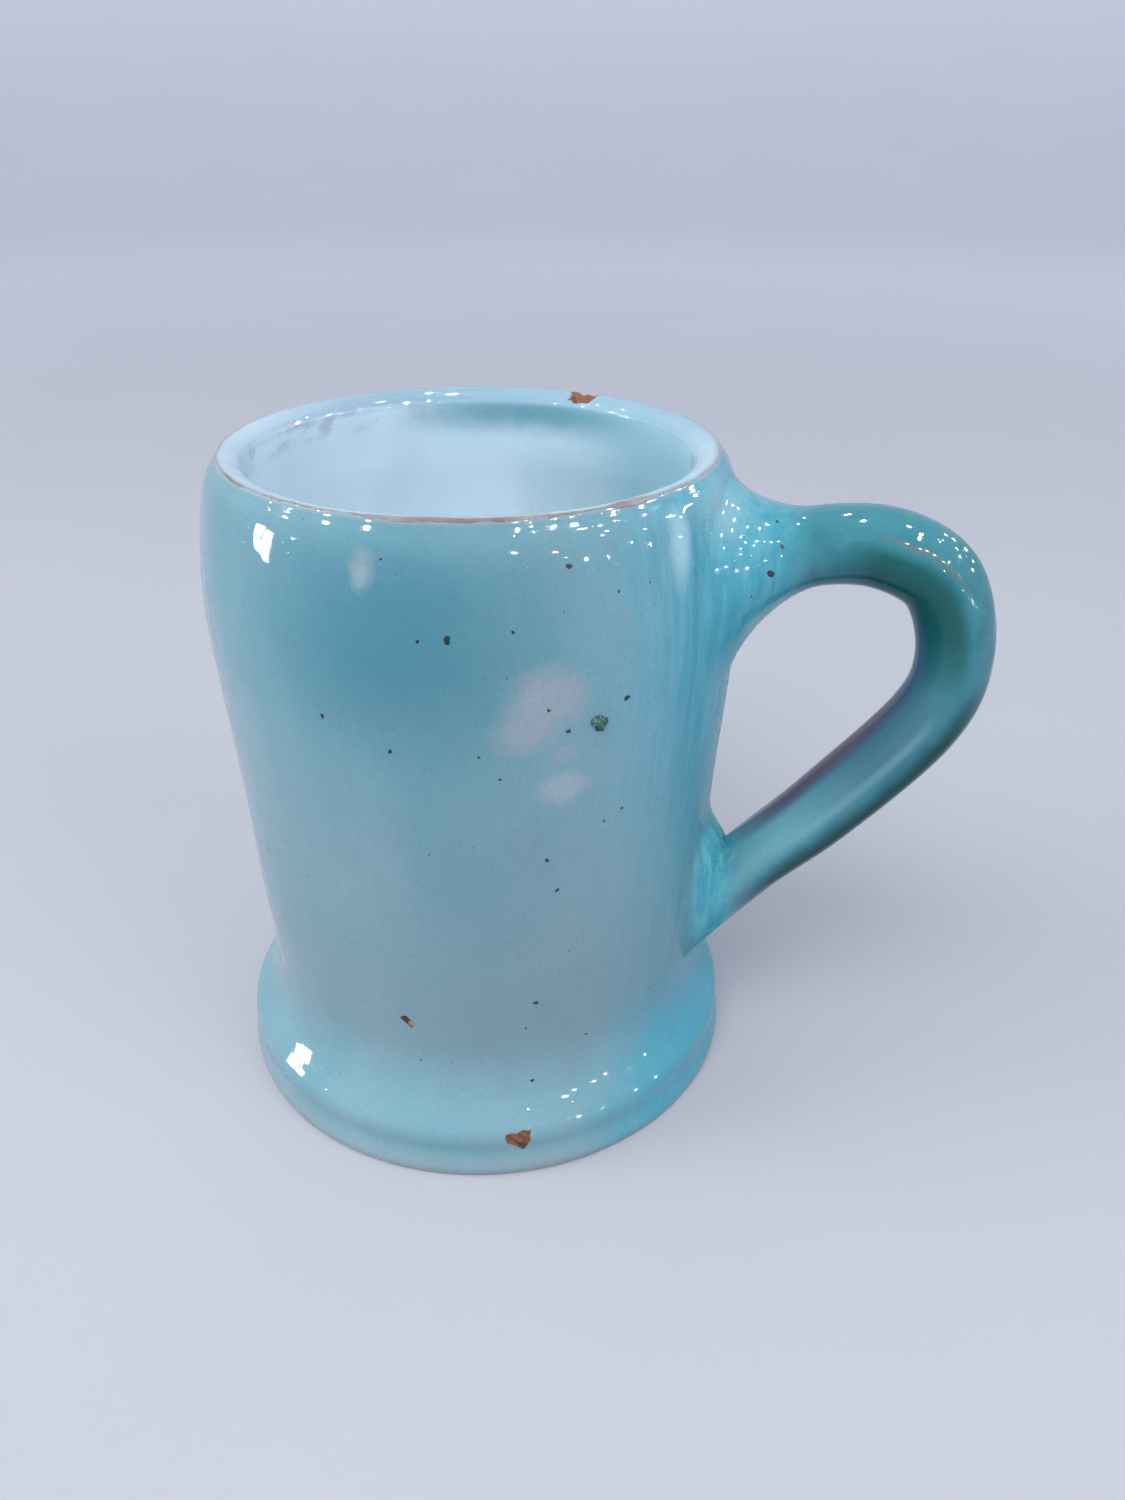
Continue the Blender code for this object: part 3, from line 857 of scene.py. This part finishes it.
def straight_rope_colour(t, teal):
    """The straight run down to the pad: paler on its side, with a painted glint and a painted bluish sheen,
    painted shade below, worn brown along its inner face.
    """
    flank = t.mix(t.step(t.run, 0.63, 0.74), srgb(70, 116, 134), srgb(104, 160, 172))
    teal = t.mix(t.times(t.straight, t.step(t.side, 0.35, -0.25)), teal, flank)
    # Painted shade darkens the rope's underside.
    teal = t.mix(t.times(t.straight, t.step(t.side, 0.05, 0.65)), teal, srgb(8, 62, 66))
    # A painted glint along the middle of the front face.
    painted_glint = t.step(t.math("ABSOLUTE", t.plus(t.side, 0.10)), 0.20, 0.0)
    painted_glint = t.times(painted_glint, t.step(t.across, 0.0, -0.5), t.step(t.run, 0.56, 0.61))
    teal = t.mix(t.times(painted_glint, t.step(t.run, 0.76, 0.70, 0.0, 0.4)), teal, srgb(124, 168, 180))
    # A painted bluish sheen along the inner edge.
    painted_blue_sheen = t.times(t.step(t.side, -0.25, -0.95), t.step(t.run, 0.44, 0.54))
    teal = t.mix(t.times(painted_blue_sheen, t.step(t.side, -0.72, -0.95)), teal, srgb(66, 96, 122))
    outer = t.step(t.side, 0.74, 0.95, 0.0, 0.8)
    teal = t.mix(t.times(t.straight, outer), teal, srgb(46, 108, 120))
    worn = t.times(t.step(t.run, 0.56, 0.64), t.step(t.run, 0.80, 0.76), t.step(t.side, -0.80, -0.97))
    return t.mix(t.times(worn, 0.75), teal, srgb(104, 86, 98))


def with_pools(t, colour):
    """Bright cyan where the glaze pooled round the joints, and a mint patch at the upper one's edge."""
    low = t.near((38.6, 0.0, 33.0), (4.0, 9.6, 13.5), 0.25, 1.5)
    pool = t.mix(t.step(t.streaky, 0.30, 0.70), srgb(56, 146, 166), srgb(96, 176, 190))
    colour = t.mix(t.times(low, 0.8), colour, pool)
    up = t.near((41.5, 0.0, 82.0), (6.5, 15.0, 14.0), 0.35, 2.0)
    pool = t.mix(t.step(t.streaky, 0.28, 0.74), srgb(58, 148, 170), srgb(92, 164, 182))
    colour = t.mix(t.times(up, 0.75), colour, pool)
    mint = t.near((36.6, -8.5, 96.5), (3.2, 6.0, 4.2), 0.8, 1.5)
    return t.mix(t.times(mint, 0.65), colour, srgb(140, 184, 196))


def turn_band(t, start, full_from, full_to, end):
    """1 between two directions in degrees from the handle, falling to 0 on both sides."""
    rise = t.step(t.turn, math.radians(start), math.radians(full_from))
    return t.times(rise, t.step(t.turn, math.radians(end), math.radians(full_to)))


def with_bare_clay(t, colour):
    """The colour with the worn line along the crest and the clay in the chips, which carries painted shade
    and a painted highlight, and how bare it is.
    """
    wander = t.times(t.minus(t.noise(0.12, 3.0, 0.6, (1, 1, 1), (1, 8, 3)), 0.5), 0.9)
    from_line = t.math("ABSOLUTE", t.plus(t.crest, 0.35, wander))
    rough_edge = t.times(t.minus(t.noise(1.6, 4.0, 0.7, (1, 1, 1), (4, 4, 1)), 0.5), 0.55)
    wide = t.times(turn_band(t, -98, -86, -62, -44), 0.24)
    blotch = t.times(turn_band(t, -45, -40, -36, -32), 0.36)
    uneven = t.step(t.noise(0.10, 3.0, 0.6, (1, 1, 1), (9, 2, 6)), 0.38, 0.62, 0.0, 0.14)
    width = t.plus(wide, blotch, uneven)
    stain = t.step(t.minus(from_line, width), 0.75, -0.1)
    colour = t.mix(t.times(stain, 0.40), colour, srgb(164, 148, 150))
    worn = t.step(t.minus(t.plus(from_line, rough_edge), width), 0.14, -0.06)
    rub = t.step(t.noise(0.085, 3.0, 0.6, (1, 1, 1), (2, 6, 8)), 0.40, 0.62, 0.45, 0.85)
    facing = t.times(t.step(t.y, 14, -6, 0.35, 1.0),
                     t.step(t.turn, math.radians(-30), math.radians(-16), 1.0, 0.4))
    chip = t.step(t.attribute("bare"), 0.35, 0.65)
    bare = t.math("MAXIMUM", t.times(worn, rub, facing), chip)

    rubbed = t.mix(t.noise(0.35, 4.0, 0.7), srgb(104, 68, 62), srgb(152, 122, 120))
    chip_clay_and_painted_light = clay_colour(t)
    # Painted shade in the chips' recesses (the two dark patches) and a painted highlight on the wall chip's
    # pale edge.
    for turn, height, size, soft, strength, tone in (
            (-91.5, 25.3, (0.8, 0.8, 0.7), 0.5, 0.8, srgb(58, 50, 46)),
            (-90.3, 24.5, (0.45, 0.5, 0.45), 0.5, 0.7, srgb(196, 190, 178)),
            (-65.2, 5.2, (0.7, 0.7, 0.8), 0.6, 0.65, srgb(70, 48, 38))):
        chip_clay_and_painted_light = t.mix(t.times(t.near(on_wall(turn, height), size, soft), strength), chip_clay_and_painted_light, tone)
    return t.mix(bare, colour, t.mix(chip, rubbed, chip_clay_and_painted_light)), bare


def glaze_material(name, on_rope):
    """Opaque turquoise glaze over red clay. on_rope adds what needs the handle's own attributes."""
    t = Tree(name)
    add_glaze_fields(t)
    inside = t.step(t.crest, -1.2, 0.9)
    colour = t.mix(inside, wall_colour(t), lining_colour(t))

    # The rope of the handle carries much thicker, darker, greener glaze.
    teal = t.step(t.noise(0.16, 4.0, 0.6, (1, 1, 1), (2, 2, 2)), 0.35, 0.65)
    teal = t.mix(teal, srgb(46, 112, 126), srgb(60, 126, 138))
    if on_rope:
        add_rope_fields(t)
        teal = straight_rope_colour(t, bent_rope_colour(t, teal))
    handle = t.times(t.step(t.radius, 38.6, 49.0), t.step(t.z, 14, 20))
    colour = with_pools(t, t.mix(handle, colour, teal))

    # Fine mottling, and tiny dark pinholes.
    grain = t.step(t.noise(3.0, 3.0, 0.7, (1, 1, 0.45)), 0.46, 0.74)
    colour = t.mix(t.times(grain, t.step(inside, 0, 1, 0.17, 0.05)), colour, srgb(40, 88, 104))
    distance, which = t.cells(0.9, (5, 5, 5))
    pits = t.times(t.step(distance, 0.11, 0.05), t.step(which, 0.90, 0.93))
    colour = t.mix(t.times(pits, 0.7), colour, srgb(38, 58, 62))
    colour, bare = with_bare_clay(t, colour)
    t.feed("Base Color", colour)

    # Glossy, but satin on the wall beside the handle's opening, and rough where it is bare.
    beside = t.times(t.step(t.x, 27, 36), t.step(t.radius, 43, 39.5))
    beside = t.times(beside, t.step(t.z, 92, 84), t.step(t.z, 14, 24))
    gloss = t.step(t.noise(0.5, 3.0, 0.6, (1, 1, 0.4), (6, 6, 6)), 0.3, 0.7, 0.025, 0.06)
    t.feed("Roughness", t.plus(t.times(bare, 0.75), gloss, t.times(beside, 0.22)))
    t.feed("IOR", 1.5)
    level = t.minus(t.step(t.radius, 40, 50, 0.5, 0.30), t.times(beside, 0.42))
    if on_rope:
        level = t.minus(level, t.times(t.straight, t.step(t.side, 0.2, 0.6), 0.18))
    t.feed("Specular IOR Level", level)

    # Waves that break up the reflections under the rim and on the foot, pinholes, and the grain of clay.
    waves = t.minus(t.noise(0.30, 2.0, 0.5, (1, 1, 0.7), (8, 3, 5)), 0.5)
    wavy = t.math("MAXIMUM", t.step(t.z, 80, 91, 0.35, 1.0), t.step(t.z, 17, 10, 0.0, 1.5))
    ripple = t.bump(t.times(waves, wavy), 0.022)
    skin = t.bump(t.noise(1.5, 3.0, 0.6), 0.004, 1.0, ripple)
    holes = t.bump(t.step(distance, 0.05, 0.16), 0.05, 0.35, skin)
    t.feed("Normal", t.bump(t.times(bare, t.noise(3.5, 5.0, 0.75)), 0.35, 1.0, holes))
    return t.material


def speck_material():
    t = Tree("iron_speck")
    t.feed("Base Color", t.mix(t.step(t.noise(0.6, 2.0), 0.45, 0.62), srgb(24, 32, 38), srgb(52, 42, 40)))
    t.feed("Roughness", t.step(t.noise(2.4), 0.3, 0.7, 0.35, 0.6))
    t.feed("Normal", t.bump(t.noise(5.0), 0.05, 0.5))
    return t.material


def crumb_material():
    """Green-black crust with brown grains and flecks of painted glint."""
    t = Tree("kiln_crust")
    colour = t.mix(t.step(t.noise(1.3, 4.0, 0.7), 0.4, 0.62), srgb(22, 62, 58), srgb(56, 118, 100))
    brown = t.step(t.noise(1.9, 2.0, 0.5, (1, 1, 1), (5, 1, 2)), 0.60, 0.70)
    # Painted highlights: pale flecks for the crust's glints.
    painted_glints = t.step(t.noise(2.3, 2.0, 0.5, (1, 1, 1), (1, 7, 2)), 0.64, 0.70)
    colour = t.mix(painted_glints, t.mix(brown, colour, srgb(60, 44, 36)), srgb(214, 224, 226))
    t.feed("Base Color", colour)
    t.feed("Roughness", t.step(t.noise(2.0), 0.35, 0.65, 0.22, 0.6))
    t.feed("Normal", t.bump(t.noise(3.0, 4.0, 0.7), 0.2, 0.8))
    return t.material


def dress(thing, material):
    thing.data.materials.clear()
    thing.data.materials.append(material)


# ---------------------------------------------------------------- stage, lights and camera

# The stage in millimetres: radius of its flat floor, of the bend round it, and height of the wall.
STAGE_FLAT = 1500.0
STAGE_BEND = 450.0
STAGE_TOP = 2300.0
STAGE_SIDES = 96


def make_stage():
    """A pale floor that curves up into a plain wall all the way round, faintly lit towards its edge."""
    profile = [(60.0 + 90.0 * k, 0.0) for k in range(17)]
    for a in np.linspace(0.0, math.pi / 2, 14)[1:]:
        profile.append((STAGE_FLAT + STAGE_BEND * math.sin(a), STAGE_BEND * (1 - math.cos(a))))
    profile.append((STAGE_FLAT + STAGE_BEND, STAGE_TOP))
    theta = np.arange(STAGE_SIDES) / STAGE_SIDES * 2 * math.pi
    across, along = np.cos(theta), np.sin(theta)
    rings = [np.stack([r * across, r * along, np.full(STAGE_SIDES, z)], -1) for r, z in profile]
    faces = [tuple(range(STAGE_SIDES))]
    for i in range(len(rings) - 1):
        faces += ring_faces(i * STAGE_SIDES, (i + 1) * STAGE_SIDES, STAGE_SIDES)
    sheet = new_piece("stage_floor", np.concatenate(rings), faces)

    t = Tree("stage_paper")
    t.feed("Base Color", t.mix(t.noise(0.01, 2.0), srgb(175, 179, 189), srgb(180, 184, 194)))
    t.feed("Roughness", 0.9)
    t.feed("Specular IOR Level", 0.0)
    glow = t.plus(t.step(t.from_axis(), 250, 1100, 0.0, 0.30), t.step(t.z, 0, 700, 0.0, 0.38))
    t.feed("Emission Color", srgb(208, 213, 228))
    t.feed("Emission Strength", glow)
    dress(sheet, t.material)


# The middle of the mug in metres, which all the lights face.
MUG_MIDDLE = (0.0, 0.0, 0.06)
WARM = (0.99, 0.965, 0.905)
WHITE = (1.0, 1.0, 1.0)
LAMP_WHITE = (1.0, 0.99, 0.96)

# Soft lights that the glaze doesn't mirror: (name, degrees from the handle and up, distance, power, spread).
SOFT_LIGHTS = (("front", -96, 50, 1.3, 3.50, 100.0), ("left_key", -159, 22, 1.5, 1.62, 60.0),
               ("right_fill", -25, 32, 1.3, 1.65, 100.0))

# Window panes that show only as reflections: (degrees from the handle, degrees up, width, height, power).
PANES = ((-165.8, 3.5, 0.10, 0.34, 3.0), (-160.3, 2.5, 0.10, 0.30, 2.6), (-116.9, 2.1, 0.07, 0.09, 0.025))

# Small lamps that show only as sparkles in the glaze: (degrees from the handle, degrees up, size).
LAMPS = (
    (-46, 54, 1.2), (-28, 51, 1.2), (-20, 48, 1.3), (-21, 41, 1.1), (-11, 40, 1.1), (-13, 30, 1.0),
    (0, 41, 1.1), (3, 60, 1.3), (17, 66, 1.8), (9, 50, 1.4), (41, 38, 1.8), (42, 31, 1.8), (21, 36, 1.8),
    (43, 21, 1.6), (33, 18, 1.5), (12, 34, 1.3), (17, 20, 1.2), (88, 82, 1.5), (-38, 51, 0.9),
    (-40, 15, 0.7), (-55, 20, 0.7), (-36, 10, 0.7), (-26, 7, 0.9), (-18, 5, 0.6), (-17, 25, 0.8),
    (3, 18, 0.8), (-8, 8, 0.7), (1, 3, 0.7), (-172, 30, 0.7), (-163, 33, 1.2), (-172, 52, 1.2),
    (-147, 42, 1.3), (-129, 46, 1.4), (-147, 12, 0.6), (101, 64, 1.4), (168, 50, 1.2),
)
LAMP_SIDE = 0.016
LAMP_GLOW = 1900.0


def towards(turn, lift, distance):
    """A place at a distance from the mug's middle."""
    a, e = math.radians(turn), math.radians(lift)
    level = distance * math.cos(e)
    return level * math.cos(a), level * math.sin(a), MUG_MIDDLE[2] + distance * math.sin(e)


def area_light(name, place, size, power, colour, spread=180.0):
    """A rectangular light that faces the mug. The camera doesn't see it."""
    lamp = bpy.data.lights.new(name, "AREA")
    lamp.spread = math.radians(spread)
    lamp.shape = "RECTANGLE"
    lamp.size, lamp.size_y = size
    lamp.energy = power
    lamp.color = colour
    thing = bpy.data.objects.new(name, lamp)
    bpy.context.scene.collection.objects.link(thing)
    thing.location = place
    thing.rotation_euler = (Vector(MUG_MIDDLE) - Vector(place)).to_track_quat("-Z", "Y").to_euler()
    thing.visible_camera = False
    return thing


def make_lights():
    world = bpy.data.worlds.new("studio")
    bpy.context.scene.world = world
    world.use_nodes = True
    background = world.node_tree.nodes["Background"]
    background.inputs["Color"].default_value = (*srgb(211, 210, 213), 1.0)
    background.inputs["Strength"].default_value = 0.60

    soft = [area_light("overhead", (-0.10, 0.05, 1.1), (0.9, 0.9), 1.9, WARM)]
    for name, turn, lift, distance, power, spread in SOFT_LIGHTS:
        soft.append(area_light(name, towards(turn, lift, distance), (0.8, 0.8), power, WARM, spread))
    for light in soft:
        light.visible_glossy = False

    mirrored = []
    for turn, lift, wide, high, power in PANES:
        mirrored.append(area_light("window", towards(turn, lift, 1.2), (wide, high), power, WHITE))
    for turn, lift, size in LAMPS:
        side = LAMP_SIDE * size
        glow = LAMP_GLOW * side ** 2
        mirrored.append(area_light("lamp", towards(turn, lift, 1.0), (side, side), glow, LAMP_WHITE))
    for light in mirrored:
        light.visible_diffuse = False


# The camera: lens and sensor in millimetres, place in metres, and where it looks, in degrees.
LENS = 28.32
SENSOR = 36.0
CAMERA_PLACE = (0.0522, -0.1559, 0.1429)
HEADING = 14.0
PITCH = 29.28
ROLL = 0.32


def make_camera():
    """The camera stands in front of the mug and looks down on it, with the handle to the right."""
    data = bpy.data.cameras.new("camera")
    data.sensor_width = SENSOR
    data.lens = LENS
    data.clip_start = 0.01
    data.clip_end = 20.0
    camera = bpy.data.objects.new("camera", data)
    bpy.context.scene.collection.objects.link(camera)
    camera.location = CAMERA_PLACE
    heading, pitch, roll = (math.radians(angle) for angle in (HEADING, PITCH, ROLL))
    level = math.cos(pitch)
    look = Vector((-math.sin(heading) * level, math.cos(heading) * level, -math.sin(pitch)))
    right = Vector((math.cos(heading), math.sin(heading), 0.0))
    up = right.cross(look)
    turned_right = right * math.cos(roll) + up * math.sin(roll)
    turned_up = up * math.cos(roll) - right * math.sin(roll)
    camera.rotation_mode = "QUATERNION"
    camera.rotation_quaternion = Matrix((turned_right, turned_up, -look)).transposed().to_quaternion()
    bpy.context.scene.camera = camera


def main():
    wall_glaze = glaze_material("turquoise_coat", False)
    handle_glaze = glaze_material("handle_coat", True)
    clay = clay_material()

    wall = make_wall_coat()
    dress(wall, wall_glaze)
    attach(wall, "root")
    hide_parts("wall_glaze")

    lining = make_lining_coat()
    dress(lining, wall_glaze)
    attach(lining, "root")
    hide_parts("lining_glaze")

    handle = make_handle_coat()
    dress(handle, handle_glaze)
    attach(handle, "root")
    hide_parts("handle_glaze")

    pot = make_clay_pot()
    dress(pot, clay)
    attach(pot, "root")
    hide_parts("clay_body")

    crumb = make_crumb()
    dress(crumb, crumb_material())
    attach(crumb, "root")
    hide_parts("kiln_crumb")

    specks = make_specks()
    dress(specks, speck_material())
    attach(specks, "root")

    for piece, node in zip(make_handle_clay(), ("handle_rope", "upper_joint", "lower_joint")):
        dress(piece, clay)
        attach(piece, "root")
        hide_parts(node)

    make_stage()
    make_lights()
    make_camera()
    bpy.context.scene.view_settings.view_transform = "Standard"


main()
